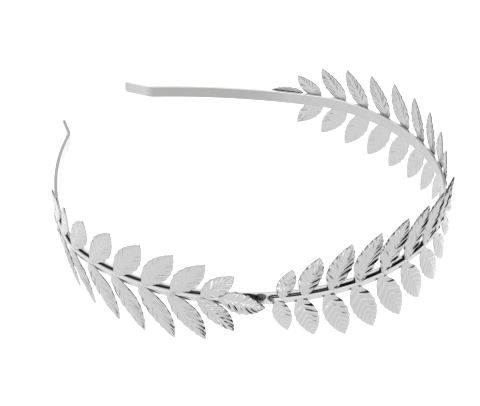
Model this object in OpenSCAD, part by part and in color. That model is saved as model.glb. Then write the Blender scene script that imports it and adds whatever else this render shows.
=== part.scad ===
// Laurel wreath crown: a flat springy metal strip bent to the head, open at the back,
// with three stamped laurel sprays fixed end to end on its outer face.
// The origin is the centre of the head opening, level with the lowest leaf tips.
// +Z is up, -Y is the brow and +Y is the open back.

/* [Strip] */
// Radius of the strip's middle line round the brow
crown_r = 64.4; // [60:0.2:72]
// Turn of the brow arc on each side of the front
crown_turn = 101; // [90:1:108]
// Radius of the short bend behind each temple
bend_r = 19; // [14:0.5:30]
// Turn of that short bend
bend_turn = 15; // [8:1:22]
// Length of each bare leg behind the short bend
leg_len = 62.8; // [45:0.2:75]
// Radius of the left leg
left_leg_r = 117; // [100:1:180]
// Radius of the right leg
right_leg_r = 190; // [120:1:220]
// Length of the straight tip at each end
tip_len = 9; // [5:0.5:14]
// How far each tip turns outwards
tip_turn = 26; // [10:1:35]
// Radius of the bend into a tip
tip_bend_r = 6.4; // [4:0.2:9]
// Height of the strip
strip_h = 4.2; // [3:0.1:6]
// Thickness of the strip
strip_t = 1.0; // [0.6:0.1:1.6]
// Radius of the rounded corners at the tips
corner_r = 1.1; // [0.4:0.1:1.9]

/* [Sprays] */
// Bare strip between the point of one spray and the foot of the next
spray_gap = 0.8; // [0.4:0.1:3]
// Bare stem before the first pair of leaves
stem_foot = 3.4; // [2.6:0.1:5]
// Distance from the first pair's neck to the last pair's
row_len = 70.8; // [66:0.1:73]
// How far nearer the foot each lower neck stands than the upper one of its pair
lower_back = 1.2; // [0:0.1:2]
// Distance from the last pair's neck to the end leaf's base
stem_end = 5.0; // [3:0.1:6]
// Width of the raised stem
stem_w = 2.1; // [1.4:0.1:2.8]
// Height of the stem above its flat back
stem_t = 0.8; // [0.6:0.1:1.8]
// Clearance between the strip and the back of a spray
seat_gap = 0.15; // [0.1:0.01:0.3]

/* [Leaves] */
// Length of the longest leaf from the stem's middle to its point
leaf_len = 19.0; // [15:0.1:20]
// Width of the broadest leaf
leaf_w = 7.9; // [6:0.1:10]
// Length of the single leaf at a spray's end
end_leaf_len = 13.8; // [10:0.1:15]
// Width of that end leaf
end_leaf_w = 7.1; // [5:0.1:9]
// Thickness of the stamped sheet
sheet_t = 0.5; // [0.3:0.05:0.8]
// Height of the middle rib above the blade
rib_h = 0.35; // [0.1:0.05:0.6]
// Height of the side veins above and below the blade
vein_h = 0.16; // [0.05:0.01:0.3]
// How far a blade's edges fall below its middle
cup_h = 0.45; // [0:0.05:0.8]
// Lean of the first pair from the strip's line
lean_first = 72; // [60:1:80]

/* [Hidden] */

// Places along the strip, as runs that follow each other away from the front
RUN = 0;
TURN = 1;
function run_of(radius, turn) = [radius * turn * PI / 180, turn];
function turn_of(length, radius) = length / radius * 180 / PI;
crown_run = run_of(crown_r, crown_turn);
bend_run = run_of(bend_r, bend_turn);
tip_run = [tip_len, 0];
out_run = [tip_bend_r * tip_turn * PI / 180, -tip_turn];
LEFT = [crown_run, bend_run, [leg_len, turn_of(leg_len, left_leg_r)], out_run, tip_run];
RIGHT = [crown_run, bend_run, [leg_len, turn_of(leg_len, right_leg_r)], out_run, tip_run];
FRONT = [0, -crown_r, 0];

// A place is [x, y, heading]; this one is carried on by a length and a turn
function carried(p, length, turn) = turn == 0
    ? [p.x + length * cos(p.z), p.y + length * sin(p.z), p.z]
    : let (r = length / (turn * PI / 180))
      [p.x + r * (sin(p.z + turn) - sin(p.z)), p.y - r * (cos(p.z + turn) - cos(p.z)), p.z + turn];
function travelled(runs, s, p = FRONT, i = 0) = i == len(runs) - 1 || s <= runs[i][RUN]
    ? carried(p, s, runs[i][TURN] * s / runs[i][RUN])
    : travelled(runs, s - runs[i][RUN], carried(p, runs[i][RUN], runs[i][TURN]), i + 1);
function total(runs, i = 0) = i == len(runs) ? 0 : runs[i][RUN] + total(runs, i + 1);

// The place at a distance round the strip from the front, the left side negative
function place(s) = s >= 0 ? travelled(RIGHT, s)
    : let (p = travelled(LEFT, -s)) [-p.x, p.y, -p.z];

// The pairs of leaves from a spray's foot to its end: neck's place as a share of row_len,
// length as a share of leaf_len, width as a share of leaf_w, lean as a share of lean_first
AT = 0;
LONG = 1;
WIDE = 2;
LEAN = 3;
PAIRS = [
    [0.000, 0.57, 0.68, 1.00],
    [0.093, 0.74, 0.86, 0.97],
    [0.210, 0.88, 0.94, 0.93],
    [0.333, 0.94, 0.97, 0.89],
    [0.466, 1.00, 1.00, 0.85],
    [0.607, 0.98, 0.98, 0.83],
    [0.746, 0.95, 0.94, 0.80],
    [0.875, 0.89, 0.88, 0.74],
    [1.000, 0.73, 0.76, 0.63],
];

// How each spray's two rows were bent by hand: extra lean, flare away from the head,
// flare added along the row, and size, the upper row first
MORE = 0;
FLARE = 1;
GROW = 2;
SIZE = 3;
UPPER = 0;
LOWER = 1;
SPRAYS = [
    [[-5, 2, -6, 0.92], [-6, -3, 20, 1.07]],
    [[2, 4, 1, 0.97], [2, 0, 0, 1.10]],
    [[7, -5, -12, 0.93], [2, -2, 4, 0.99]],
];

// How far each spray's end leaf droops below the strip's line
DROOPS = [8, 3, -5];

function pair_len(k, row, i) = leaf_len * PAIRS[i][LONG] * SPRAYS[k][row][SIZE];
function pair_lean(k, row, i) = lean_first * PAIRS[i][LEAN] + SPRAYS[k][row][MORE];
function pair_flare(k, row, i) = SPRAYS[k][row][FLARE] + SPRAYS[k][row][GROW] * (PAIRS[i][AT] - 0.5);
// Half the blade's width along it, as a share of its greatest half width
OUTLINE = [
    [0.00, 0.22], [0.08, 0.23], [0.14, 0.48], [0.22, 0.74], [0.32, 0.93], [0.42, 1.00],
    [0.52, 1.00], [0.64, 0.91], [0.76, 0.73], [0.88, 0.46], [0.95, 0.24], [1.00, 0.04],
];
// How far a lower leaf's point hangs below the strip's middle: the blunt point's lower corner counts
function pair_drop(k, i) = let (lean = pair_lean(k, LOWER, i))
    pair_len(k, LOWER, i) * cos(pair_flare(k, LOWER, i)) * sin(lean)
    + leaf_w * PAIRS[i][WIDE] / 2 * OUTLINE[len(OUTLINE) - 1].y * cos(lean);
rest_h = max([for (k = [0:len(SPRAYS) - 1], i = [0:len(PAIRS) - 1]) pair_drop(k, i)]);

// Rows of points along a blade, odd ones on the side veins and even ones in the valleys
row_count = 13;
front_cols = 5;
back_cols = 3;
vein_sweep = 0.85;
scallop = 0.025;
// How much nearer the neck the edge that faces the foot is fullest, as a share of the length
skew = 0.05;
bend_power = 1.4;
// A leaf is flat where it lies on the strip: its bend and its relief start this far past the strip's edge
edge_clear = 0.5;
edge = strip_h / 2 + edge_clear;
// How far past that line the relief reaches its full height
ease = 0.3 * leaf_w;

function along(i, v) = let (u = i / row_count) u + vein_sweep * abs(v) * u * (1 - u);
function ripple(i) = i == 0 || i == row_count ? 0 : i % 2 == 1 ? 1 : -1;
function half_w(i, v) = let (u = along(i, v))
    lookup(u + skew * v * 4 * u * (1 - u), OUTLINE) * (1 + scallop * ripple(i));
function blade_at(i, v, length, width) = [length * along(i, v), width / 2 * v * half_w(i, v)];
function past_edge(p, lean) = max(0, abs(p.x * sin(lean) + p.y * cos(lean)) - edge);
function relief(i, v, past) = let (belly = sin(180 * along(i, v)))
    rib_h * belly * pow(1 - abs(v), 2) + min(1, past / ease)
    * (vein_h * ripple(i) * min(1, 2 * abs(v)) * (1 - 0.4 * v * v) - cup_h * belly * v * v);
function blade_point(i, v, length, width, lean, lift, drop) =
    let (p = blade_at(i, v, length, width), past = past_edge(p, lean))
    [p.x, p.y, relief(i, v, past) + lift * pow(past / length, bend_power) - drop];

function front_at(i, j) = i * front_cols + j;
function back_at(i, j) = (row_count + 1) * front_cols + i * back_cols + j;
function halves(a, b, c, d) = [[a, b, c], [a, c, d]];
// The triangles that close an end, whose corners 0 to 4 are on the front and 5 to 7 on the back
CAP = [[0, 5, 1], [1, 5, 6], [1, 6, 2], [2, 6, 3], [3, 6, 7], [3, 7, 4]];
function end_at(i, c) = c < front_cols ? front_at(i, c) : back_at(i, c - front_cols);

// One leaf: it lies along +X from the stem's middle at a lean from the strip, faces +Z and lifts off
// its plane past the strip's edge
module leaf(length, width, lean, lift) {
    points = concat(
        [for (i = [0:row_count], j = [0:front_cols - 1])
            blade_point(i, 2 * j / (front_cols - 1) - 1, length, width, lean, lift, 0)],
        [for (i = [0:row_count], j = [0:back_cols - 1])
            blade_point(i, 2 * j / (back_cols - 1) - 1, length, width, lean, lift, sheet_t)]);
    faces = concat(
        [for (i = [0:row_count - 1], j = [0:front_cols - 2])
            each halves(front_at(i, j), front_at(i, j + 1), front_at(i + 1, j + 1), front_at(i + 1, j))],
        [for (i = [0:row_count - 1], j = [0:back_cols - 2])
            each halves(back_at(i, j), back_at(i + 1, j), back_at(i + 1, j + 1), back_at(i, j + 1))],
        [for (i = [0:row_count - 1])
            each halves(front_at(i, 0), front_at(i + 1, 0), back_at(i + 1, 0), back_at(i, 0))],
        [for (i = [0:row_count - 1])
            each halves(front_at(i + 1, front_cols - 1), front_at(i, front_cols - 1),
                back_at(i, back_cols - 1), back_at(i + 1, back_cols - 1))],
        [for (t = CAP) [end_at(0, t[0]), end_at(0, t[1]), end_at(0, t[2])]],
        [for (t = CAP) [end_at(row_count, t[0]), end_at(row_count, t[2]), end_at(row_count, t[1])]]);
    polyhedron(points, faces);
}

// Puts its children on the strip's outer face, +X along the strip, +Y up and +Z away from the head
seat = strip_t / 2 + seat_gap;
module on_strip(s) {
    p = place(s);
    translate([p.x, p.y, rest_h]) rotate([90, 0, p.z]) translate([0, 0, seat]) children();
}

// Where a spray begins on the strip
spray_pitch = stem_foot + row_len + stem_end + end_leaf_len + spray_gap;
function foot(k) = (k - len(SPRAYS) / 2) * spray_pitch;

module row_leaf(k, row, i) {
    flare = pair_flare(k, row, i);
    lean = pair_lean(k, row, i);
    length = pair_len(k, row, i) * cos(flare);
    lift = length * tan(flare) / pow(sin(lean) - edge / length, bend_power);
    rotate([0, 0, lean]) translate([0, 0, sheet_t]) leaf(length, leaf_w * PAIRS[i][WIDE], lean, lift);
}

// The stem's section as [up, outwards], from its lower back corner over the crest to its upper one
STEM_SIDES = 4;
stem_step = 3.2;
stem_taper = 0.55;
STEM = [for (j = [0:STEM_SIDES]) [-cos(180 * j / STEM_SIDES) * stem_w / 2, sin(180 * j / STEM_SIDES) * stem_t]];
function stem_point(s, j, size) = let (p = place(s), out = seat + STEM[j].y * size)
    [p.x + out * sin(p.z), p.y - out * cos(p.z), rest_h + STEM[j].x * size];

module stem(k) {
    length = stem_foot + row_len + stem_end + stem_w;
    rings = ceil(length / stem_step);
    n = len(STEM);
    points = [for (i = [0:rings], j = [0:n - 1])
        stem_point(foot(k) + length * i / rings, j, i == 0 || i == rings ? stem_taper : 1)];
    faces = concat(
        [for (i = [0:rings - 1], j = [0:n - 1])
            each halves(i * n + j, i * n + (j + 1) % n, (i + 1) * n + (j + 1) % n, (i + 1) * n + j)],
        [[for (j = [n - 1:-1:0]) j]],
        [[for (j = [0:n - 1]) rings * n + j]]);
    polyhedron(points, faces);
}

module spray(k) {
    color([0.82, 0.82, 0.83]) {
        stem(k);
        for (i = [0:len(PAIRS) - 1]) {
            neck = foot(k) + stem_foot + row_len * PAIRS[i][AT];
            on_strip(neck) row_leaf(k, UPPER, i);
            on_strip(neck - lower_back) mirror([0, 1, 0]) row_leaf(k, LOWER, i);
        }
        on_strip(foot(k) + stem_foot + row_len + stem_end)
            rotate([0, 0, -DROOPS[k]]) translate([0, 0, sheet_t]) leaf(end_leaf_len, end_leaf_w, -DROOPS[k], 0);
    }
}

module spray_left() spray(0);
module spray_front() spray(1);
module spray_right() spray(2);

// The strip seen from above: its outer edge from the left tip to the right one, and its inner edge back
facet_turn = 2.5;
function stops(runs, i, from) = let (n = max(1, ceil(abs(runs[i][TURN]) / facet_turn)))
    [for (j = [1:n]) from + runs[i][RUN] * j / n];
function all_stops(runs, i = 0, from = 0) = i == len(runs) ? []
    : concat(stops(runs, i, from), all_stops(runs, i + 1, from + runs[i][RUN]));
function reversed(list) = [for (i = [len(list) - 1:-1:0]) list[i]];
STOPS = concat([for (s = reversed(all_stops(LEFT))) -s], [0], all_stops(RIGHT));
function edge_point(s, out) = let (p = place(s)) [p.x + out * sin(p.z), p.y - out * cos(p.z)];

// What is cut away to round a tip's corners, with +X along the strip and +Y up
corner_facets = 6;
spare = 1;
module corner_cut() {
    top = strip_h / 2;
    arc = [for (i = [0:corner_facets]) let (a = 90 * i / corner_facets)
        [corner_r * (sin(a) - 1), top - corner_r * (1 - cos(a))]];
    linear_extrude(strip_t + 2 * spare, center = true)
        polygon(concat(arc, [[spare, top - corner_r], [spare, top + spare], [-corner_r, top + spare]]));
}

module tip_cuts(runs) {
    p = travelled(runs, total(runs));
    translate([p.x, p.y, 0]) rotate([90, 0, p.z]) {
        corner_cut();
        mirror([0, 1, 0]) corner_cut();
    }
}

module band() {
    outline = concat([for (s = STOPS) edge_point(s, strip_t / 2)],
        [for (s = reversed(STOPS)) edge_point(s, -strip_t / 2)]);
    color([0.72, 0.72, 0.72]) translate([0, 0, rest_h]) difference() {
        translate([0, 0, -strip_h / 2]) linear_extrude(strip_h) polygon(outline);
        for (side = [0, 1]) mirror([side, 0, 0]) tip_cuts(side == 1 ? LEFT : RIGHT);
    }
}

band();
spray_left();
spray_front();
spray_right();
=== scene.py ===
"""Dresses the laurel wreath crown: a springy strip and three stamped laurel sprays, in silver-coloured metal.

Lengths in the classes are millimetres, as in the part's source, and become metres when a mesh is made.
Places along the strip are distances from the middle of the brow, the left side negative.
"""

from __future__ import annotations

import logging
import math
from dataclasses import dataclass, field
from enum import Enum

import bpy
import numpy as np
from mathutils import Matrix, Vector

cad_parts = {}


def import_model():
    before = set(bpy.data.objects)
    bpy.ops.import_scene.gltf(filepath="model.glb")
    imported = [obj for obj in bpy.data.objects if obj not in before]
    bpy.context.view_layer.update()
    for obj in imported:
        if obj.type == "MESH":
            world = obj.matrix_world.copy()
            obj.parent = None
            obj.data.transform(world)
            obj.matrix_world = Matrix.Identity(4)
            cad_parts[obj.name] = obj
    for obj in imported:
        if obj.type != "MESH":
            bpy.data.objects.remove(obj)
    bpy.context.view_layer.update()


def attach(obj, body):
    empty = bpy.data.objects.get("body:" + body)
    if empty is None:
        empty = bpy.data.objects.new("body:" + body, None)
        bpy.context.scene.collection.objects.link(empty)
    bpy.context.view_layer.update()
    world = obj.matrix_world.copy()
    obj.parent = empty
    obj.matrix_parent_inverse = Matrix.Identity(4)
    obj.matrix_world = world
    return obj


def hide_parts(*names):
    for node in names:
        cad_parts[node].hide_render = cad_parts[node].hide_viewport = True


log = logging.getLogger("laurel_crown")

MM = 0.001
TINY = 1e-9
GRAIN_SHARE = 0.6
Array = np.ndarray
Socket = bpy.types.NodeSocket
Span = tuple[float, float]
Table = tuple[Span, ...]
Colour = tuple[float, float, float, float]
WHITE: Colour = (1.0, 1.0, 1.0, 1.0)


def unit(value: Array) -> Array:
    """A value kept between 0 and 1."""
    return np.clip(value, 0.0, 1.0)


def bell(value: Array) -> Array:
    """A soft bump, 1 where the value is 0."""
    return np.exp(-(value**2))


# Places along the strip


@dataclass(frozen=True)
class Run:
    """One stretch of the strip, an arc or a straight: its length, and how far it turns in degrees."""

    length: float
    turn: float


@dataclass(frozen=True)
class StripLine:
    """The strip's middle line seen from above, as runs that follow each other away from the brow."""

    crown_radius: float = 64.4
    crown_turn: float = 101.0
    bend_radius: float = 19.0
    bend_turn: float = 15.0
    leg: float = 62.8
    left_leg_radius: float = 117.0
    right_leg_radius: float = 190.0
    tip: float = 9.0
    tip_turn: float = 26.0
    tip_bend_radius: float = 6.4

    def runs(self, leg_radius: float) -> list[Run]:
        """The runs of one side for its leg's radius: brow arc, bend behind the temple, leg, outward bend, tip."""
        return [
            Run(self.crown_radius * math.radians(self.crown_turn), self.crown_turn),
            Run(self.bend_radius * math.radians(self.bend_turn), self.bend_turn),
            Run(self.leg, math.degrees(self.leg / leg_radius)),
            Run(self.tip_bend_radius * math.radians(self.tip_turn), -self.tip_turn),
            Run(self.tip, 0.0),
        ]

    def total(self) -> float:
        """Length of the strip from the middle of the brow to a tip."""
        return sum(run.length for run in self.runs(self.left_leg_radius))

    def walk(self, distance: Array, leg_radius: float) -> tuple[Array, Array, Array]:
        """Walks the right-hand side. A part that turns by 2h adds a chord, length x sin(h) / h, at h past its start.

        Args:
            distance: distances from the brow.
            leg_radius: radius of the bare leg.

        Returns:
            The x, the y and the heading in radians.
        """
        x, y, heading = np.zeros_like(distance), np.full_like(distance, -self.crown_radius), np.zeros_like(distance)
        left = distance.copy()
        runs = self.runs(leg_radius)
        for run in runs:
            step = left if run is runs[-1] else np.clip(left, 0.0, run.length)
            turn = math.radians(run.turn) * step / run.length
            chord = step * np.sinc(turn / 2 / np.pi)
            x = x + chord * np.cos(heading + turn / 2)
            y = y + chord * np.sin(heading + turn / 2)
            heading = heading + turn
            left = np.maximum(left - step, 0.0)
        return x, y, heading

    def places(self, s: Array) -> tuple[Array, Array, Array]:
        """The x, y and heading along the whole strip. The left side is walked as a right one and mirrored."""
        s = np.asarray(s, float)
        rx, ry, rh = self.walk(np.maximum(s, 0.0), self.right_leg_radius)
        lx, ly, lh = self.walk(np.maximum(-s, 0.0), self.left_leg_radius)
        right = s >= 0
        return np.where(right, rx, -lx), np.where(right, ry, ly), np.where(right, rh, -lh)

    def points(self, s: Array, up: Array, out: Array, rest: float) -> Array:
        """Points at distances along the strip, above its middle and away from the head, over a middle at rest."""
        x, y, heading = self.places(s)
        return np.stack([x + out * np.sin(heading), y - out * np.cos(heading), rest + up + 0 * x], axis=-1)


# Meshes from grids of points


@dataclass
class Shell:
    """A closed grid surface: rows along it, a loop of columns round it, and marks and a map for its finish."""

    points: Array
    coords: Array
    marks: dict[str, Array] = field(default_factory=dict)
    flipped: bool = False


def shell_faces(rows: int, columns: int, start: int, flipped: bool) -> tuple[Array, Array]:
    """Faces of one shell: a quad between neighbours, and at each end triangles to an added middle point.

    Args:
        rows: rows of points along the shell.
        columns: points round each row.
        start: number of its first point in the mesh.
        flipped: whether the faces turn the other way.

    Returns:
        The quads and the triangles, as arrays of point numbers.
    """
    i, j = np.meshgrid(np.arange(rows - 1), np.arange(columns), indexing="ij")
    k = (j + 1) % columns
    here, there = i * columns, (i + 1) * columns
    quads = np.stack([here + j, there + j, there + k, here + k], axis=-1).reshape(-1, 4)
    loop = np.arange(columns)
    after = (loop + 1) % columns
    first, last = rows * columns, rows * columns + 1
    far = (rows - 1) * columns
    caps = np.concatenate([
        np.stack([loop, after, np.full(columns, first)], axis=-1),
        np.stack([far + after, far + loop, np.full(columns, last)], axis=-1),
    ])
    if flipped:
        quads, caps = quads[:, ::-1], caps[:, ::-1]
    return quads + start, caps + start


def with_ends(grid: Array) -> Array:
    """A grid as one list, followed by the middles of its first and its last row."""
    return np.concatenate([grid.reshape(-1, *grid.shape[2:]), grid[[0, -1]].mean(axis=1)])


def mesh_piece(name: str, shells: list[Shell]) -> bpy.types.Object:
    """Makes one smooth-shaded object from closed shells, with their marks as attributes and their map as a UV map.

    Args:
        name: the object's name.
        shells: the shells, in millimetres.

    Returns:
        The object, at the origin and in metres.
    """
    grids = [{"place": shell.points * MM, "map": shell.coords * MM, **shell.marks} for shell in shells]
    values = {key: np.concatenate([with_ends(grid[key]) for grid in grids]).astype(np.float32) for key in grids[0]}
    faces, count = [], 0
    for shell in shells:
        rows, columns = shell.points.shape[:2]
        faces.append(shell_faces(rows, columns, count, shell.flipped))
        count += rows * columns + 2
    quad, cap = (np.concatenate(part) for part in zip(*faces))
    place, coords = values.pop("place"), values.pop("map")
    corners = np.concatenate([quad.reshape(-1), cap.reshape(-1)])
    mesh = bpy.data.meshes.new(name)
    mesh.vertices.add(len(place))
    mesh.vertices.foreach_set("co", place.reshape(-1))
    mesh.loops.add(len(corners))
    mesh.loops.foreach_set("vertex_index", corners.astype(np.int32))
    mesh.polygons.add(len(quad) + len(cap))
    starts = np.concatenate([np.arange(len(quad)) * 4, len(quad) * 4 + np.arange(len(cap)) * 3])
    mesh.polygons.foreach_set("loop_start", starts.astype(np.int32))
    mesh.update(calc_edges=True)
    mesh.polygons.foreach_set("use_smooth", np.ones(len(starts), bool))
    uv = mesh.uv_layers.new(name="metal_map")
    uv.data.foreach_set("uv", coords[corners].reshape(-1))
    for key, mark in values.items():
        mesh.attributes.new(name=key, type="FLOAT", domain="POINT").data.foreach_set("value", mark)
    mesh.validate()
    piece = bpy.data.objects.new(name, mesh)
    bpy.context.scene.collection.objects.link(piece)
    return piece


# The strip


@dataclass(frozen=True)
class ShadeSpot:
    """A soft spot of painted shade on the strip's outer face: how far past a place, how long, how high up and how
    tall.
    """

    past: float
    length: float
    height: float
    tall: float

    def shade(self, past: Array, up: Array) -> Array:
        """The spot's shade, 1 at its middle."""
        return np.exp(-(((past - self.past) / self.length) ** 2) - ((up - self.height) / self.tall) ** 2)


@dataclass(frozen=True)
class Strip:
    """The springy strip on edge: a rounded flat section carried along the line, with rounded corners at both tips.

    A table pairs distances along the strip with a tone. The top edge's goes from a painted highlight at 1 to painted
    shade below 0, the inner face's from plain at 0 to a rougher face at 1, painted darker as shade.
    """

    line: StripLine
    rest: float
    stems: Table
    height: float = 4.2
    thickness: float = 1.0
    edge_radius: float = 0.12
    edge_most: float = 0.9
    corner_radius: float = 1.1
    spacing: float = 0.4
    edge_steps: int = 5
    face_steps: int = 16
    bend_steps: int = 24
    corner_steps: int = 14
    rim_steps: int = 6
    bend_margin: float = 0.5
    top_rim: float = 0.15
    # Tone of the top edge along the strip: above 0 a painted highlight, below 0 painted shade.
    top_edge_light_and_shade: Table = (
        (-120, -0.5), (-112, 0.0), (-104, 0.7), (20, 0.7), (50, 0.1), (100, 0.3), (112, 1.0), (194, 1.0),
    )
    inner_slope: float = 1.2
    # How far the inner face turns rougher and darker along the strip; the darker tone is painted shade.
    inner_shade: Table = (
        (-150, 0.0), (20, 0.1), (58, 0.6), (68, 0.6), (76, 0.5), (132, 0.6),
        (140, 0.9), (146, 1.0), (182, 1.0), (185, 0.45), (194, 0.45),
    )
    outer_face: float = 0.3
    # Painted shade on the outer face behind and above each stem, with painted shadow spots at its foot and beside its
    # end leaf's point.
    shade_reach: tuple[float, ...] = (1.85, 0.8, 0.8)
    shade_drop: float = 0.8
    shade_ramp: float = 0.2
    foot_spot: ShadeSpot = ShadeSpot(0.3, 0.8, 0.2, 0.9)
    point_spot: ShadeSpot = ShadeSpot(9.9, 1.8, 0.6, 1.3)
    spot_gain: float = 6.0
    spot_level: float = 1.6

    def stations(self) -> Array:
        """Distances along the strip, closer together in the outward bends and at the rounded tips."""
        total = self.line.total()
        runs = self.line.runs(self.line.left_leg_radius)
        bend_end = total - runs[-1].length
        bend_start = bend_end - runs[-2].length
        bend = np.linspace(bend_start - self.bend_margin, bend_end + self.bend_margin, self.bend_steps)
        arc = self.corner_radius * (1 - np.cos(np.linspace(0.0, np.pi / 2, self.corner_steps)))
        rim = self.edge_radius * (1 - np.cos(np.linspace(0.0, np.pi / 2, self.rim_steps)))
        side = np.concatenate([np.arange(0.0, total, self.spacing), bend, total - arc, total - rim])
        side = np.unique(np.round(side, 4))
        return np.concatenate([-side[:0:-1], side])

    def section(self) -> tuple[Array, Array, Array, Array]:
        """The section as a loop from the outer face's foot upwards: straight faces joined by quarter circles.

        Returns:
            For each point of the loop its corner's sign up and out, and its offset from that corner's inner box.
        """
        quarter = np.linspace(0.0, np.pi / 2, self.edge_steps)
        face = np.linspace(-1.0, 1.0, self.face_steps)[1:-1]
        flat, arc = np.ones(len(face)), np.ones(len(quarter))
        parts = []
        for turn in range(4):
            angle = turn * np.pi / 2 + quarter
            centre = turn * np.pi / 2 + np.pi / 4
            box = np.sign(np.sin(centre)) * arc, np.sign(np.cos(centre)) * arc
            parts.append([*box, np.sin(angle), np.cos(angle)])
            if turn in (1, 3):
                away = turn - 2.0
                parts.append([face * away, flat * away, flat * 0, flat * away])
        return tuple(np.concatenate(parts, axis=1))

    def painted_shade(self, along: Array, up: Array) -> Array:
        """Painted shade on the outer face: behind and above the stems, at their feet, beside the end leaves' points.
        """
        shade = np.zeros(along.shape)
        for (start, end), reach in zip(self.stems, self.shade_reach):
            inside = unit(np.minimum(along - start, end - along))
            behind = unit(np.minimum(reach - up, self.shade_drop + up) / self.shade_ramp)
            spots = np.maximum(self.foot_spot.shade(along - start, up), self.point_spot.shade(along - end, up))
            spots = unit(self.spot_gain * spots - self.spot_level)
            shade = np.maximum(shade, np.maximum(inside * behind, spots))
        return shade

    def shell(self) -> Shell:
        """The strip's surface: towards a tip the height falls along a quarter circle, and so does the thickness."""
        s = self.stations()
        gap = np.maximum(self.line.total() - np.abs(s), 0.0)
        up_box, out_box, up_arc, out_arc = self.section()
        corner = np.minimum(gap, self.corner_radius)
        half_up = self.height / 2 - self.corner_radius + np.sqrt(corner * (2 * self.corner_radius - corner))
        rim = np.minimum(gap, self.edge_radius)
        half_out = self.thickness / 2 - self.edge_radius + np.sqrt(rim * (2 * self.edge_radius - rim))
        radius = np.minimum(self.edge_radius, np.minimum(half_up, half_out) * self.edge_most)
        up = (half_up - radius)[:, None] * up_box + radius[:, None] * up_arc
        out = (half_out - radius)[:, None] * out_box + radius[:, None] * out_arc
        along = s[:, None] + 0 * up
        points = self.line.points(along, up, out, self.rest)
        round_way = np.concatenate([[0.0], np.cumsum(np.hypot(np.diff(up[len(s) // 2]), np.diff(out[len(s) // 2])))])
        coords = np.stack([along, round_way[None, :] + 0 * up], axis=-1)
        top, inner = (np.interp(along, *np.array(table).T) for table in (self.top_edge_light_and_shade, self.inner_shade))
        # Painted top edge: a painted highlight along most of the strip, painted shade on the left leg.
        edge = (up > self.height / 2 - self.top_rim) * top
        # Painted shade on the outer face, and on the left leg's top edge where its tone falls below 0.
        painted_shade = np.maximum(self.painted_shade(along, up) * (out > self.outer_face), -edge)
        # Rougher inner face, painted darker as shade, as far as the inner table says.
        satin_and_shade = unit(0.5 - out / self.thickness * self.inner_slope) * inner
        return Shell(points, coords, {"painted_shade": painted_shade, "satin_and_shade": satin_and_shade, "edge_highlight": np.maximum(edge, 0.0)})


# The sprays


@dataclass(frozen=True)
class Pair:
    """One pair of leaves: its neck's place, length, width and lean, as shares of the spray's sizes."""

    at: float
    long: float
    wide: float
    lean: float


@dataclass(frozen=True)
class Row:
    """How one row of a spray came out.

    In degrees: added lean, flare away from the head, and how flare and twist grow along the row. Then the leaves'
    size, their arch in millimetres, how high their veins are struck, how wide and strong the painted highlight along
    their veins is, and how dark their painted dark marks are.
    """

    more: float
    flare: float
    grow: float
    size: float
    twist: float = 0.0
    arch: float = 0.0
    strike: float = 1.0
    # Widens and strengthens the painted highlight along the veins.
    soft: float = 1.0
    painted_dark_marks: float = 0.0


class Side(Enum):
    """The two rows of leaves of a spray, with the sign of their height."""

    UPPER = 1
    LOWER = -1


PAIRS = (
    Pair(0.000, 0.57, 0.68, 1.00),
    Pair(0.093, 0.74, 0.86, 0.97),
    Pair(0.210, 0.88, 0.94, 0.93),
    Pair(0.333, 0.94, 0.97, 0.89),
    Pair(0.466, 1.00, 1.00, 0.85),
    Pair(0.607, 0.98, 0.98, 0.83),
    Pair(0.746, 0.95, 0.94, 0.80),
    Pair(0.875, 0.89, 0.88, 0.74),
    Pair(1.000, 0.73, 0.76, 0.63),
)


@dataclass(frozen=True)
class SprayBend:
    """How one spray sits: its number from the left, its two rows and the droop of its end leaf."""

    name: str
    number: int
    upper: Row
    lower: Row
    droop: float

    def row(self, side: Side) -> Row:
        """The row on that side."""
        return self.upper if side is Side.UPPER else self.lower


SPRAYS = (
    SprayBend(
        "left", 0, droop=8,
        upper=Row(more=-5, flare=2, grow=-6, size=0.92, strike=0.6),
        lower=Row(more=-6, flare=-3, grow=20, size=1.07, strike=0.85),
    ),
    SprayBend(
        "front", 1, droop=3,
        upper=Row(more=2, flare=4, grow=1, size=0.97, twist=-9, strike=1.1, painted_dark_marks=1.0),
        lower=Row(more=2, flare=0, grow=0, size=1.10, arch=0.8, strike=0.4, soft=1.7),
    ),
    SprayBend(
        "right", 2, droop=-5,
        upper=Row(more=7, flare=-5, grow=-12, size=0.93, strike=0.5),
        lower=Row(more=2, flare=-2, grow=4, size=0.99, strike=0.5),
    ),
)


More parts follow.
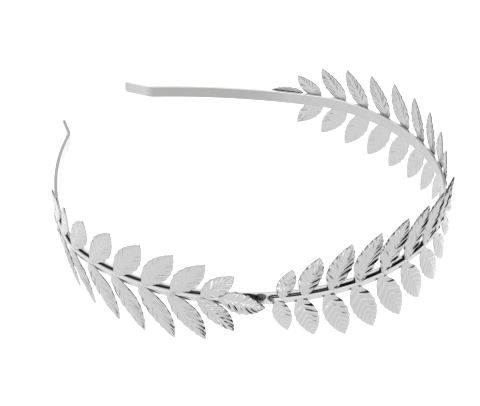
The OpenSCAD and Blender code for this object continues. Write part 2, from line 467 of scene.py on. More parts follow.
@dataclass(frozen=True)
class Stamping:
    """Sizes that every spray shares, because one die stamps them all."""

    stem_foot: float = 3.4
    row_length: float = 70.8
    lower_back: float = 1.2
    stem_end: float = 5.0
    spray_gap: float = 0.8
    stem_width: float = 2.1
    stem_height: float = 0.62
    leaf_length: float = 19.0
    leaf_width: float = 7.9
    end_leaf_length: float = 13.8
    end_leaf_width: float = 7.1
    lean_first: float = 72.0
    sheet: float = 0.5
    sink: float = 0.05
    seat: float = 0.65
    edge: float = 2.6
    ease: float = 2.37
    bend_power: float = 1.4
    outline: Table = (
        (0.00, 0.20), (0.08, 0.40), (0.14, 0.58), (0.22, 0.78), (0.32, 0.93), (0.42, 1.00),
        (0.52, 1.00), (0.64, 0.91), (0.76, 0.73), (0.88, 0.46), (0.95, 0.24), (1.00, 0.04),
    )

    def pitch(self) -> float:
        """Length of strip from one spray's foot to the next one's."""
        return self.stem_foot + self.row_length + self.stem_end + self.end_leaf_length + self.spray_gap

    def stem_length(self) -> float:
        """Length of a stem, whose end runs a little way under the end leaf."""
        return self.stem_foot + self.row_length + self.stem_end + self.stem_width

    def foot(self, number: int) -> float:
        """Where a spray begins on the strip."""
        return (number - len(SPRAYS) / 2) * self.pitch()

    def lean(self, pair: Pair, row: Row) -> float:
        """A leaf's lean from the strip's line, in degrees."""
        return self.lean_first * pair.lean + row.more

    def flare(self, pair: Pair, row: Row) -> float:
        """A leaf's bend away from the head, in degrees."""
        return row.flare + row.grow * (pair.at - 0.5)

    def crest(self) -> float:
        """Height of a stem's crest over the sheet where a leaf leaves it."""
        return self.stem_height - self.sheet - self.sink

    def drop(self, pair: Pair, row: Row) -> float:
        """How far a lower leaf's point hangs below the middle of the strip."""
        lean, flare = math.radians(self.lean(pair, row)), math.radians(self.flare(pair, row))
        reach = self.leaf_length * pair.long * row.size * math.cos(flare) * math.sin(lean)
        return reach + self.leaf_width * pair.wide / 2 * self.outline[-1][1] * math.cos(lean)

    def rest(self) -> float:
        """Height of the strip's middle above the floor, set by the lowest leaf point."""
        return max(self.drop(pair, spray.lower) for spray in SPRAYS for pair in PAIRS)


@dataclass(frozen=True)
class LeafShape:
    """One leaf before it is placed: its length, width, lean, lift of the point, small bends and strike."""

    length: float
    width: float
    lean: float
    lift: float
    roll: float = 0.0
    curl: float = 0.0
    phase: float = 0.0
    arch: float = 0.0
    strike: float = 1.0
    soft: float = 1.0


@dataclass(frozen=True)
class LeafPress:
    """The die that gives a leaf its outline, middle rib, side veins and rolled rim, and the marks for the painted
    highlight along its veins, the painted shade near the stem and the painted dark marks on its front.
    """

    stamping: Stamping
    vein_rows: int = 17
    row_steps: int = 6
    front_columns: int = 17
    back_columns: int = 11
    rim_steps: int = 3
    blur: float = 0.03
    blur_steps: int = 7
    sweep: float = 0.95
    skew: float = 0.05
    scallop: float = 0.035
    rib: float = 0.18
    rib_width: float = 0.42
    tent: float = 0.2
    cup: float = 0.45
    dome: float = 0.35
    vein: float = 0.22
    vein_width: float = 0.3
    vein_root: float = 0.1
    vein_rise: float = 1.6
    vein_end: float = 1.2
    vein_fall: float = 2.4
    swell: float = 0.06
    uneven: float = 0.5
    uneven_step: float = 2.1
    uneven_side: float = 1.7
    lopsided: float = 0.3
    rim: float = 0.22
    rim_most: float = 0.45
    wobble: float = 0.05
    wobble_half_turns: float = 2.4
    ripple: float = 0.025
    ripple_along: float = 2.8
    ripple_across: float = 3.5
    root_reach: float = 1.7
    root_fall: float = 0.5
    # Strength of the painted highlight along the veins.
    shine: float = 0.37
    notch_start: float = 0.8
    notch_width: float = 0.2
    notch_power: float = 1.5
    notch_share: float = 0.65
    notch_valley: float = -0.5
    notch_depth: float = 0.9
    dash_share: float = 0.007
    dash_tone: float = 0.8

    def loop(self) -> tuple[Array, Array, Array]:
        """The loop round a leaf's section: across the front, round one rim, back across, round the other.

        Returns:
            For each point its share across from -1 to 1, its share of the sheet's depth, and its bulge at the rim.
        """
        front = np.linspace(-1.0, 1.0, self.front_columns)
        back = np.linspace(1.0, -1.0, self.back_columns)
        turn = np.pi * np.arange(1, self.rim_steps + 1) / (self.rim_steps + 1)
        depth, bulge = (1 - np.cos(turn)) / 2, np.sin(turn)
        across = np.concatenate([front, np.ones(self.rim_steps), back, -np.ones(self.rim_steps)])
        down = np.concatenate([np.zeros(len(front)), depth, np.ones(len(back)), depth[::-1]])
        out = np.concatenate([np.zeros(len(front)), bulge, np.zeros(len(back)), bulge])
        return across, down, out

    def half_width(self, share: Array) -> Array:
        """Half the blade's width as a share of its greatest, from the outline's points rounded by a short average."""
        shifts = np.linspace(-self.blur, self.blur, self.blur_steps)
        weights = bell(shifts / (self.blur / 2))
        inside = unit(share)
        narrow = np.minimum(1.0, (1.0 - inside) / self.blur)
        moved = inside[..., None] + shifts * narrow[..., None]
        return (np.interp(moved, *np.array(self.stamping.outline).T) * weights).sum(axis=-1) / weights.sum()

    def painted_dark_marks(self, chance: np.random.Generator) -> Array:
        """Painted dark marks on a leaf's front: painted shade in the notches between the vein ends along both
        margins, and short dashes of painted dark reflection scattered over it.

        Args:
            chance: seeded draws that leave marks out and place the dashes.

        Returns:
            The painted dark marks, 0 to 1.
        """
        rows = self.vein_rows * self.row_steps
        wave = np.cos(np.pi * (np.linspace(0.0, 1.0, rows + 1)[:, None] * self.vein_rows - 1))
        v, depth, _ = self.loop()
        draws = chance.random((rows + 1, len(v)))
        # Painted shade in the notches between the vein ends along the margins.
        margin = unit((np.abs(v) - self.notch_start) / self.notch_width) ** self.notch_power
        margin = margin * ((wave < self.notch_valley) & (depth < self.notch_depth) & (draws[:, :1] < self.notch_share))
        # Short dashes of painted dark reflection.
        dashes = draws < self.dash_share
        dashes = dashes | np.roll(dashes, 1, axis=1) | np.roll(dashes, -1, axis=1)
        dashes = dashes | np.roll(dashes, 1, axis=0)
        return np.maximum(margin, self.dash_tone * (dashes & (depth == 0)))

    def surface(self, leaf: LeafShape) -> tuple[Array, Array, dict[str, Array]]:
        """One leaf in its own frame: +X from the stem to its point, +Y across, +Z away from the head.

        Rows follow the side veins: a row's point at share v across lies at u + sweep |v| u (1 - u) of the length.
        The height is a tent to the middle, a narrow rib, ridges on every second row, and edges that fall away.
        Over the stem only what stands proud of the front stays.

        Args:
            leaf: the leaf's sizes.

        Returns:
            The grid of points, its map, and its marks.
        """
        die, rows = self.stamping, self.vein_rows * self.row_steps
        u = np.linspace(0.0, 1.0, rows + 1)[:, None]
        v, depth, bulge = self.loop()
        share = u + self.sweep * np.abs(v) * u * (1 - u)
        number = np.round((u * self.vein_rows - 1) / 2)
        side = np.sign(v)
        uneven = 1 + self.uneven * np.sin(self.uneven_step * number + leaf.phase + self.uneven_side * side)
        uneven = uneven - self.lopsided * side
        wave = np.cos(np.pi * (u * self.vein_rows - 1))
        ends = unit(np.minimum(u, 1 - u) * self.vein_rows)
        off = np.abs(((u * self.vein_rows - 1) / 2 + 0.5) % 1.0 - 0.5) * 2 / self.vein_rows * leaf.length
        ridge = bell(off / self.vein_width) * ends
        skewed = share + self.skew * v * 4 * share * (1 - share)
        half = leaf.width / 2 * self.half_width(skewed) * (1 + self.scallop * wave * ends)
        rim = np.minimum(self.rim, half * self.rim_most)
        x = leaf.length * share
        y = v * (half - rim) + side * bulge * rim
        lean = math.radians(leaf.lean)
        past = np.maximum(0.0, np.abs(x * math.sin(lean) + y * math.cos(lean)) - die.edge)
        ease = np.minimum(1.0, past / die.ease)
        belly = np.sin(np.pi * share)
        slope = np.minimum(1.0, 1 + self.sweep * np.abs(v) * (1 - 2 * u))
        rise = np.minimum(1.0, self.vein_rise * np.abs(v) + self.vein_root)
        fade = np.minimum(1.0, self.vein_fall * (self.vein_end - np.abs(v)))
        veins = leaf.strike * slope * uneven * (self.vein * ridge + self.swell * wave * ends) * rise * fade
        rib = self.rib * np.sqrt(belly + TINY) * bell(y / self.rib_width)
        size = leaf.width / die.leaf_width
        tilt = y * math.tan(math.radians(leaf.roll))
        fall = size * belly * (self.tent * (1 - np.abs(v)) ** 2 - self.cup * v * v)
        fall = fall + tilt + leaf.curl * share**3 + leaf.arch * belly
        fall = fall + self.wobble * np.sin(self.wobble_half_turns * np.pi * share + leaf.phase) * (1 - share)
        waves = np.sin(self.ripple_along * x + leaf.phase) * np.sin(self.ripple_across * y + 2 * leaf.phase)
        fall = fall + self.ripple * belly * waves
        # Closeness to the stem: it raises the crest over the stem and marks painted shade where the leaf meets it.
        root = bell(x / self.root_reach)
        dome = self.dome * belly * (1 - v * v) + np.maximum(tilt, 0.0) * belly
        proud = (1 - ease) * (1 - depth) * (np.maximum(veins, 0.0) + rib + dome)
        relief = ease * (veins + rib + fall) + proud + die.crest() * root * (1 - self.root_fall * v * v)
        z = die.sheet * (1 - depth) + relief + leaf.lift * (past / leaf.length) ** die.bend_power
        flat = np.zeros(z.shape)
        # Painted highlight along each vein, also smoother there, widened by the row's soft setting.
        shine = self.shine * leaf.soft * bell(off / self.vein_width / leaf.soft) * ends
        marks = {"ridge": unit(shine + flat), "root": root + flat, "painted_dark": flat}
        return np.stack([x + flat, y, z], axis=-1), np.stack([x + flat, y], axis=-1), marks


@dataclass(frozen=True)
class StemPress:
    """A stem's half-round form, and a painted dark line of shade along its upper edge, which dips past each neck and
    breaks off.

    A place is a distance past each neck, and a reach. Heights across are shares of the stem's half width.
    """

    sides: int = 20
    back_steps: int = 7
    spacing: float = 0.5
    end_steps: tuple[float, ...] = (0.08, 0.2, 0.35)
    end_round: float = 0.9
    end_size: float = 0.45
    taper: float = 0.14
    swell: float = 0.06
    swell_place: Span = (-0.5, 1.3)
    fullness: float = 0.85
    side_shade: float = 2.2
    # Bounds of the painted dark line of shade along the upper edge, as shares of the half width.
    shade_low: Table = ((0.0, 0.95), (28.0, 0.7))
    shade_high: float = 1.1
    low_ramp: float = 0.2
    high_ramp: float = 0.1
    dip_low: float = 0.45
    dip_high: float = 0.5
    dip_place: Span = (1.6, 0.8)
    break_place: Span = (2.9, 0.35)
    foot_dark: float = 1.5
    foot_ramp: float = 0.6

    def stations(self, length: float) -> Array:
        """Distances along a stem, closer together at its ends."""
        steps = int(length / self.spacing)
        ends = [*self.end_steps, *(length - step for step in self.end_steps)]
        return np.unique(np.concatenate([np.linspace(0.0, length, steps + 1), ends]))

    @staticmethod
    def bumps(past: Array, at: float, width: float) -> Array:
        """Soft bumps at a place past each neck, added up."""
        return bell((past - at) / width).sum(axis=1)

    def size(self, run: Array, past: Array, length: float) -> Array:
        """The section's size along a stem: round ends, a taper, and a swelling before each neck."""
        end = unit(np.minimum(run, length - run) / self.end_round)
        swell = self.bumps(past, *self.swell_place)
        ends = self.end_size + (1 - self.end_size) * np.sqrt(end * (2 - end))
        return ends * (1.0 - self.taper * run / length) * (1 + self.swell * swell)

    def slots(self, run: Array, past: Array, across: Array) -> Array:
        """The painted shade along the upper edge and over the foot, for distances along the stem, past each neck, and
        heights across it.
        """
        dip = self.bumps(past, *self.dip_place)[:, None]
        whole = 1 - self.bumps(past, *self.break_place)[:, None]
        low = np.interp(run, *np.array(self.shade_low).T)[:, None]
        above = unit((across - low + self.dip_low * dip) / self.low_ramp)
        below = unit((self.shade_high - across - self.dip_high * dip) / self.high_ramp)
        foot = unit((self.foot_dark - run) / self.foot_ramp)[:, None]
        return np.maximum(above * below * whole, foot)


@dataclass(frozen=True)
class Spray:
    """One stamped spray: a half-round stem, nine pairs of leaves and an end leaf, seated on the strip."""

    line: StripLine
    stamping: Stamping
    press: LeafPress
    bend: SprayBend
    rest: float
    stem_press: StemPress = StemPress()
    end_roll: float = -13.0
    roll_spread: float = 3.0
    curl_span: Span = (-0.5, -0.05)
    phase_span: Span = (0.0, 6.0)
    full_length: float = 16.0
    seed: int = 7
    dark_mark_seeds: int = 1000

    def placed(self, grid: Array, s: float, lean: float, side: Side) -> Array:
        """Turns a leaf by its lean in the strip's outer face and carries it to its neck.

        Args:
            grid: the leaf's points.
            s: the neck's distance along the strip.
            lean: the lean in degrees.
            side: its row.

        Returns:
            The points in the row frame.
        """
        a = math.radians(lean)
        x, y, z = grid[..., 0], grid[..., 1], grid[..., 2] + self.stamping.seat
        along = x * math.cos(a) - y * math.sin(a)
        up = side.value * (x * math.sin(a) + y * math.cos(a))
        px, py, heading = (float(value[0]) for value in self.line.places(np.array([s])))
        cos, sin = math.cos(heading), math.sin(heading)
        return np.stack([px + along * cos + z * sin, py + along * sin - z * cos, self.rest + up], axis=-1)

    def leaf(self, pair: Pair, side: Side, chance: np.random.Generator) -> Shell:
        """One leaf of a pair, with a small roll and curl of its own, and a weaker strike where it is short.

        Args:
            pair: the pair.
            side: its row.
            chance: seeded draws for the small bends.

        Returns:
            The leaf's shell.
        """
        row, stamping = self.bend.row(side), self.stamping
        lean, flare = stamping.lean(pair, row), math.radians(stamping.flare(pair, row))
        length = stamping.leaf_length * pair.long * row.size * math.cos(flare)
        reach = math.sin(math.radians(lean)) - stamping.edge / length
        lift = length * math.tan(flare) / reach**stamping.bend_power
        roll = row.twist * pair.at + chance.uniform(-self.roll_spread, self.roll_spread)
        curl, phase = chance.uniform(*self.curl_span), chance.uniform(*self.phase_span)
        fill = min(1.0, (length / self.full_length) ** 2)
        shape = LeafShape(
            length, stamping.leaf_width * pair.wide, lean, lift, roll, curl, phase,
            arch=fill * row.arch, strike=fill * row.strike, soft=row.soft,
        )
        grid, coords, marks = self.press.surface(shape)
        # Painted dark marks on the leaf's front: shade in the margin notches and dark reflections.
        marks["painted_dark"] = row.painted_dark_marks * self.press.painted_dark_marks(np.random.default_rng(int(self.dark_mark_seeds * phase)))
        neck = stamping.foot(self.bend.number) + stamping.stem_foot + stamping.row_length * pair.at
        if side is Side.LOWER:
            neck -= stamping.lower_back
        return Shell(self.placed(grid, neck, lean, side), coords, marks, flipped=side is Side.LOWER)

    def end_leaf(self) -> Shell:
        """The single leaf at the stem's end, along the strip."""
        stamping = self.stamping
        neck = stamping.foot(self.bend.number) + stamping.stem_foot + stamping.row_length + stamping.stem_end
        shape = LeafShape(stamping.end_leaf_length, stamping.end_leaf_width, -self.bend.droop, 0.0, self.end_roll)
        grid, coords, marks = self.press.surface(shape)
        return Shell(self.placed(grid, neck, -self.bend.droop, Side.UPPER), coords, marks)

    def stem(self) -> Shell:
        """The stem: a half-round section carried along the strip, with its painted dark line of shade."""
        stamping, press = self.stamping, self.stem_press
        length = stamping.stem_length()
        run = press.stations(length)
        necks = stamping.stem_foot + stamping.row_length * np.array([pair.at for pair in PAIRS])
        past = run[:, None] - necks[None, :]
        size = press.size(run, past, length)[:, None]
        turn = np.linspace(0.0, np.pi, press.sides + 1)
        back = np.linspace(1.0, -1.0, press.back_steps)[1:-1]
        up = np.concatenate([-np.cos(turn), back]) * stamping.stem_width / 2
        out = np.concatenate([np.sin(turn) ** press.fullness, 0 * back]) * stamping.stem_height
        s = stamping.foot(self.bend.number) + run[:, None] + 0 * up
        points = self.line.points(s, size * up, stamping.seat + size * out, self.rest)
        coords = np.stack([s, up + 0 * s], axis=-1)
        level = np.zeros(s.shape)
        # Painted shade on the stem's sides near the strip, carried by the root mark.
        shade = unit(1.0 - out / stamping.stem_height * press.side_shade)
        # Painted shade along the stem's upper edge and over its foot.
        painted_dark = press.slots(run, past, up / stamping.stem_width * 2) * (out > 0)
        # The whole stem takes the lighter, smoother tone of the vein highlight.
        return Shell(points, coords, {"ridge": level + 1.0, "root": shade + level, "painted_dark": painted_dark})

    def shells(self) -> list[Shell]:
        """All shells of the spray: the stem, the leaves of both rows and the end leaf."""
        chance = np.random.default_rng(self.seed + self.bend.number)
        leaves = [self.leaf(pair, side, chance) for pair in PAIRS for side in Side]
        return [self.stem(), *leaves, self.end_leaf()]


# Finishes


@dataclass(frozen=True)
class Graph:
    """A short way to lay nodes in a material, a world or a group."""

    tree: bpy.types.NodeTree

    def add(self, kind: str, settings: dict | None = None, **inputs: object) -> bpy.types.Node:
        """Adds a node.

        Args:
            kind: the node's type.
            settings: properties to set on it.
            inputs: values or sockets for its inputs, by name with underscores, or i0, i1 for their number.

        Returns:
            The node.
        """
        node = self.tree.nodes.new(kind)
        for key, value in (settings or {}).items():
            setattr(node, key, value)
        for key, value in inputs.items():
            numbered = key[0] == "i" and key[1:].isdigit()
            socket = node.inputs[int(key[1:]) if numbered else key.replace("_", " ")]
            if isinstance(value, Socket):
                self.tree.links.new(value, socket)
            else:
                socket.default_value = value
        return node

    def math(self, operation: str, first: object, second: object = 0.0, third: object = 0.0) -> Socket:
        """One Math node's result."""
        return self.add("ShaderNodeMath", {"operation": operation}, i0=first, i1=second, i2=third).outputs[0]

    def scale(self, value: object, share: object) -> Socket:
        """A value times a share."""
        return self.math("MULTIPLY", value, share)

    def span(self, value: object, low: float, high: float, first: float = 0.0, last: float = 1.0) -> Socket:
        """A smooth step of a value between low and high, from the first to the last result."""
        limits = {"From_Min": low, "From_Max": high, "To_Min": first, "To_Max": last}
        return self.add("ShaderNodeMapRange", {"interpolation_type": "SMOOTHSTEP"}, Value=value, **limits).outputs[0]

    def mix(self, share: object, first: object, second: object) -> Socket:
        """A mix of two colours."""
        return self.add("ShaderNodeMix", {"data_type": "RGBA"}, i0=share, i6=first, i7=second).outputs[2]

    def dot(self, vector: object, direction: Array) -> Socket:
        """How far a vector goes in a direction."""
        settings = {"operation": "DOT_PRODUCT"}
        return self.add("ShaderNodeVectorMath", settings, i0=vector, i1=tuple(direction)).outputs["Value"]

    def mark(self, name: str) -> Socket:
        """A mark of the mesh."""
        return self.add("ShaderNodeAttribute", {"attribute_name": name}).outputs["Fac"]

    def seen(self, hidden: object, shown: float) -> Socket:
        """A level that the camera sees as one value, while the metal mirrors another."""
        camera = self.add("ShaderNodeLightPath").outputs["Is Camera Ray"]
        return self.add("ShaderNodeMix", {"data_type": "FLOAT"}, i0=camera, i2=hidden, i3=shown).outputs[0]


def grain_group() -> bpy.types.NodeTree:
    """Plating grain, shared by both metals: cloudy tone, roughness change and a fine height, from Object coordinates.

    Returns:
        The group, with inputs Cloud Scale and Grain Scale and outputs Tone, Rough and Height.
    """
    group = bpy.data.node_groups.new("plating_grain", "ShaderNodeTree")
    for name, value in (("Cloud Scale", 60.0), ("Grain Scale", 2600.0)):
        socket = group.interface.new_socket(name, in_out="INPUT", socket_type="NodeSocketFloat")
        socket.default_value = value
    for name in ("Tone", "Rough", "Height"):
        group.interface.new_socket(name, in_out="OUTPUT", socket_type="NodeSocketFloat")
    graph = Graph(group)
    given = graph.add("NodeGroupInput")
    where = graph.add("ShaderNodeTexCoord").outputs["Object"]
    cloud_size, grain_size = given.outputs["Cloud Scale"], given.outputs["Grain Scale"]
    cloud = graph.add("ShaderNodeTexNoise", Vector=where, Scale=cloud_size, Detail=3.0, Roughness=0.55).outputs[0]
    grain = graph.add("ShaderNodeTexNoise", Vector=where, Scale=grain_size, Detail=2.0, Roughness=0.6).outputs[0]
    tone = graph.span(cloud, low=0.3, high=0.7)
    rough = graph.math("MULTIPLY_ADD", grain, GRAIN_SHARE, graph.scale(tone, 1 - GRAIN_SHARE))
    graph.add("NodeGroupOutput", Tone=tone, Rough=rough, Height=grain)
    return group


@dataclass(frozen=True)
class Metal:
    """A plated metal, whose grain shows in its tone, roughness and fine bump."""

    grain: bpy.types.NodeTree
    cloud_scale: float
    grain_scale: float
    bump: float
    bump_depth: float = 0.00003
    grain_rough: float = 0.05

    def paint(self, graph: Graph, grain: bpy.types.NodeOutputs) -> tuple[Socket, Socket, Socket]:
        """The metal's tone, its roughness without grain, and its fine height."""
        raise NotImplementedError

    def build(self, name: str) -> bpy.types.Material:
        """Makes the material."""
        material = bpy.data.materials.new(name)
        material.use_nodes = True
        material.node_tree.nodes.clear()
        graph = Graph(material.node_tree)
        sizes = {"Cloud_Scale": self.cloud_scale, "Grain_Scale": self.grain_scale}
        grain = graph.add("ShaderNodeGroup", {"node_tree": self.grain}, **sizes).outputs
        tone, rough, height = self.paint(graph, grain)
        rough = graph.math("MULTIPLY_ADD", grain["Rough"], self.grain_rough, rough)
        bump = graph.add("ShaderNodeBump", Strength=self.bump, Distance=self.bump_depth, Height=height).outputs[0]
        shine = {"Base_Color": tone, "Roughness": rough, "Normal": bump, "Metallic": 1.0}
        graph.add("ShaderNodeOutputMaterial", Surface=graph.add("ShaderNodeBsdfPrincipled", **shine).outputs[0])
        return material


@dataclass(frozen=True)
class LeafFinish(Metal):
    """Bright plated stamping: smoother veins painted lighter as a highlight, duller valleys, painted shade where a
    leaf meets the stem, near-black painted shade along the stems, and near-black painted shade and dark reflections
    in marks on the leaves.
    """

    cloud_scale: float = 70.0
    grain_scale: float = 2200.0
    bump: float = 0.12
    # Lighter colour of the painted highlight along the veins.
    bright: Colour = (0.54, 0.54, 0.545, 1.0)
    valley: Colour = (0.455, 0.455, 0.46, 1.0)
    # Colour of the painted shade where leaves meet the stem and on the stem's sides.
    root: Colour = (0.45, 0.45, 0.45, 1.0)
    # Near-black colour of the painted shade along the stems and of the painted dark marks on the leaves.
    painted_dark: Colour = (0.03, 0.03, 0.03, 1.0)
    vein_span: Span = (0.05, 0.9)
    cloud_share: float = 0.12
    root_share: float = 0.55
    painted_dark_share: float = 0.85
    smooth: float = 0.09
    dull: float = 0.15

    def paint(self, graph: Graph, grain: bpy.types.NodeOutputs) -> tuple[Socket, Socket, Socket]:
        """The stamping's, from the marks of its mesh."""
        # Painted highlight along the veins, which are also smoother.
        high = graph.span(graph.mark("ridge"), *self.vein_span)
        tone = graph.mix(high, self.valley, self.bright)
        tone = graph.mix(graph.scale(grain["Tone"], self.cloud_share), tone, self.valley)
        # Painted shade near the stem.
        tone = graph.mix(graph.scale(graph.mark("root"), self.root_share), tone, self.root)
        # Near-black painted shade and painted dark marks.
        tone = graph.mix(graph.scale(graph.mark("painted_dark"), self.painted_dark_share), tone, self.painted_dark)
        return tone, graph.span(high, 0.0, 1.0, self.dull, self.smooth), grain["Height"]


@dataclass(frozen=True)
class StripFinish(Metal):
    """Satin spring steel: faint lines drawn along the strip and cloudy tone, with a rougher inner face painted darker
    as shade, a painted highlight and painted shade along the top edge, and painted shade on the outer face.
    """

    cloud_scale: float = 45.0
    grain_scale: float = 2600.0
    bump: float = 0.1
    light: Colour = (0.60, 0.60, 0.60, 1.0)
    shade: Colour = (0.50, 0.50, 0.50, 1.0)
    # Lighter colour of the painted highlight along the top edge.
    edge_highlight: Colour = (0.82, 0.82, 0.82, 1.0)
    # Darker colour of the rougher inner face, painted shade.
    satin_and_shade: Colour = (0.34, 0.34, 0.335, 1.0)
    # Near-black colour of the painted shade on the outer face.
    painted_shade: Colour = (0.03, 0.03, 0.03, 1.0)
    satin_and_shade_share: float = 0.9
    painted_shade_share: float = 0.9
    rough: float = 0.14
    satin_rough: float = 0.3
    line_scale: tuple[float, float, float] = (40.0, 7000.0, 1.0)
    line_span: Span = (0.35, 0.65)
    line_tone: float = 0.25
    line_rough: float = 0.1
    line_height: float = 0.7

    def paint(self, graph: Graph, grain: bpy.types.NodeOutputs) -> tuple[Socket, Socket, Socket]:
        """The strip's, from its drawn lines and the marks of its mesh."""
        where = graph.add("ShaderNodeUVMap", {"uv_map": "metal_map"}).outputs[0]
        drawn = graph.add("ShaderNodeMapping", Vector=where, Scale=self.line_scale).outputs[0]
        lines = graph.add("ShaderNodeTexNoise", Vector=drawn, Scale=1.0, Detail=3.0, Roughness=0.6).outputs[0]
        satin_and_shade = graph.mark("satin_and_shade")
        tone = graph.mix(grain["Tone"], self.shade, self.light)
        tone = graph.mix(graph.scale(graph.span(lines, *self.line_span), self.line_tone), tone, self.shade)
        # The inner face's rougher finish, with its darker tone painted as shade.
        tone = graph.mix(graph.scale(satin_and_shade, self.satin_and_shade_share), tone, self.satin_and_shade)
        # Painted highlight along the top edge.
        tone = graph.mix(graph.mark("edge_highlight"), tone, self.edge_highlight)
        # Painted shade: near black on the outer face and on the left leg's top edge.
        tone = graph.mix(graph.scale(graph.mark("painted_shade"), self.painted_shade_share), tone, self.painted_shade)
        rough = graph.span(satin_and_shade, 0.0, 1.0, self.rough, self.satin_rough)
        rough = graph.math("MULTIPLY_ADD", lines, self.line_rough, rough)
        fine = graph.scale(grain["Height"], 1 - self.line_height)
        return tone, rough, graph.math("MULTIPLY_ADD", lines, self.line_height, fine)


# Studio


@dataclass(frozen=True)
class Patch:
    """A soft round patch of the sky: its direction and the angles it fades between, in degrees, and its strength."""

    azimuth: float
    elevation: float
    outer: float
    inner: float
    strength: float


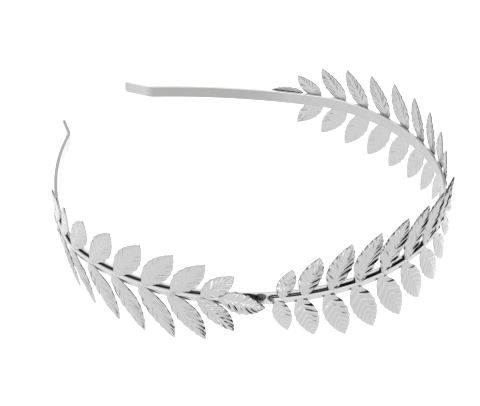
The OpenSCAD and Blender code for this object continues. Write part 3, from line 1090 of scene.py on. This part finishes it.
@dataclass(frozen=True)
class Studio:
    """The camera, and a floor and a dark sky with soft lights, both plain white to the camera itself.

    The lights are a box at the left, a sweep behind on the right that ends below a height, and a small one high
    over the front. An opening in front dims them. Lengths of the floor are metres.
    """

    rest: float
    azimuth: float = -47.63
    elevation: float = 31.83
    roll: float = 0.35
    target: Span = (-10.45, -6.93)
    distance: float = 457.9
    lens: float = 107.6
    sensor: float = 36.0
    clip: Span = (0.01, 50.0)
    box: Patch = Patch(-105, 35, 62, 50, 1.17)
    sweep: Patch = Patch(150, 15, 55, 38, 1.25)
    sweep_top: Span = (0.76, 0.86)
    over: Patch = Patch(-30, 75, 26, 16, 0.8)
    opening: Patch = Patch(-10, 25, 38, 28, 0.85)
    ambient: float = 0.03
    background: float = 1.08
    floor_half: float = 6.0
    floor_drop: float = 0.00005
    sheet_way: float = 70.0
    sheet_end: Span = (0.13, 0.2)
    sheet_past: float = 0.1
    card_way: float = -47.0
    card_start: Span = (0.12, 0.15)
    card_half: Span = (0.03, 0.05)

    @staticmethod
    def toward(azimuth: float, elevation: float = 0.0) -> Array:
        """The direction at an azimuth, from the brow towards the right, and an elevation, both in degrees."""
        a, e = math.radians(azimuth), math.radians(elevation)
        return np.array([math.sin(a) * math.cos(e), -math.cos(a) * math.cos(e), math.sin(e)])

    def share(self, graph: Graph, way: Socket, patch: Patch) -> Socket:
        """How much of a patch lies in a direction: 1 inside its inner angle, 0 outside the outer one."""
        near = graph.dot(way, self.toward(patch.azimuth, patch.elevation))
        return graph.span(near, math.cos(math.radians(patch.outer)), math.cos(math.radians(patch.inner)))

    def floor(self) -> None:
        """A wide floor. The metal mirrors it lit, darker far to the right, with a bright card at the left front."""
        mesh = bpy.data.meshes.new("floor")
        half = self.floor_half
        mesh.from_pydata([(-half, -half, 0), (half, -half, 0), (half, half, 0), (-half, half, 0)], [], [(0, 1, 2, 3)])
        material = bpy.data.materials.new("floor_white")
        material.use_nodes = True
        shader = material.node_tree.nodes["Principled BSDF"]
        graph = Graph(material.node_tree)
        place = graph.add("ShaderNodeTexCoord").outputs["Object"]
        sheet = graph.span(graph.dot(place, self.toward(self.sheet_way)), *self.sheet_end, 1.0, self.sheet_past)
        front = graph.dot(place, self.toward(self.card_way))
        side = graph.math("ABSOLUTE", graph.dot(place, self.toward(self.card_way + 90)))
        card = graph.scale(graph.span(front, *self.card_start), graph.span(side, *self.card_half, 1.0, 0.0))
        level = graph.seen(graph.math("ADD", sheet, card), 1.0)
        graph.tree.links.new(level, shader.inputs["Emission Strength"])
        grey = (0.5, 0.5, 0.5, 1.0)
        dull = {"Base Color": grey, "Emission Color": WHITE, "Roughness": 0.9, "Specular IOR Level": 0.0}
        for key, value in dull.items():
            shader.inputs[key].default_value = value
        mesh.materials.append(material)
        floor = bpy.data.objects.new("floor", mesh)
        floor.location.z = -self.floor_drop
        bpy.context.scene.collection.objects.link(floor)

    def world(self) -> None:
        """The sky: the strongest of the lights in each direction, over a faint ambient level."""
        world = bpy.data.worlds.new("tent")
        bpy.context.scene.world = world
        world.use_nodes = True
        world.node_tree.nodes.clear()
        graph = Graph(world.node_tree)
        way = graph.add("ShaderNodeTexCoord").outputs["Generated"]
        height = graph.add("ShaderNodeSeparateXYZ", Vector=way).outputs["Z"]
        box = graph.scale(self.share(graph, way, self.box), self.box.strength)
        below = graph.span(height, *self.sweep_top, self.sweep.strength, 0.0)
        sweep = graph.scale(self.share(graph, way, self.sweep), below)
        over = graph.scale(self.share(graph, way, self.over), self.over.strength)
        light = graph.math("MAXIMUM", graph.math("MAXIMUM", box, sweep), over)
        light = graph.math("ADD", light, self.ambient)
        dimmed = graph.scale(self.share(graph, way, self.opening), self.opening.strength)
        light = graph.scale(light, graph.math("SUBTRACT", 1.0, dimmed))
        shine = graph.add("ShaderNodeBackground", Color=WHITE, Strength=graph.seen(light, self.background))
        graph.add("ShaderNodeOutputWorld", Surface=shine.outputs[0])

    def camera(self) -> None:
        """The camera at the photo's angle and distance, with its small roll."""
        data = bpy.data.cameras.new("camera")
        data.lens = self.lens
        data.sensor_width = self.sensor
        data.clip_start, data.clip_end = self.clip
        camera = bpy.data.objects.new("camera", data)
        target = np.array([*self.target, self.rest])
        back = self.toward(self.azimuth, self.elevation)
        turn = Vector(-back).to_track_quat("-Z", "Y").to_matrix().to_4x4()
        place = Matrix.Translation(Vector((target + back * self.distance) * MM))
        camera.matrix_world = place @ turn @ Matrix.Rotation(math.radians(self.roll), 4, "Z")
        bpy.context.scene.collection.objects.link(camera)
        bpy.context.scene.camera = camera

    def build(self) -> None:
        """Sets up the floor, the light and the camera."""
        self.floor()
        self.world()
        self.camera()
        view = bpy.context.scene.view_settings
        view.view_transform = "Standard"
        view.look = "None"


def dress(piece: bpy.types.Object, material: bpy.types.Material, node: str) -> None:
    """Gives a piece its material and says which node it stands for.

    Args:
        piece: the piece.
        material: its material.
        node: the CAD node it replaces.
    """
    piece.data.materials.append(material)
    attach(piece, "root")
    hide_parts(node)
    log.info("%s stands for %s: %d faces", piece.name, node, len(piece.data.polygons))


def main() -> None:
    """Builds the crown round its frame, then the studio."""
    logging.basicConfig(level=logging.INFO, format="%(message)s")
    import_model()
    line, stamping = StripLine(), Stamping()
    rest = stamping.rest()
    grain = grain_group()
    leaf_metal = LeafFinish(grain).build("leaf_metal")
    strip_metal = StripFinish(grain).build("strip_metal")
    feet = [stamping.foot(bend.number) for bend in SPRAYS]
    stems = tuple((foot, foot + stamping.stem_length()) for foot in feet)
    strip = mesh_piece("crown_strip", [Strip(line, rest, stems).shell()])
    dress(strip, strip_metal, "band")
    press = LeafPress(stamping)
    for bend in SPRAYS:
        spray = mesh_piece(f"laurel_spray_{bend.name}", Spray(line, stamping, press, bend, rest).shells())
        dress(spray, leaf_metal, f"spray_{bend.name}")
    Studio(rest).build()


if __name__ == "__main__":
    main()
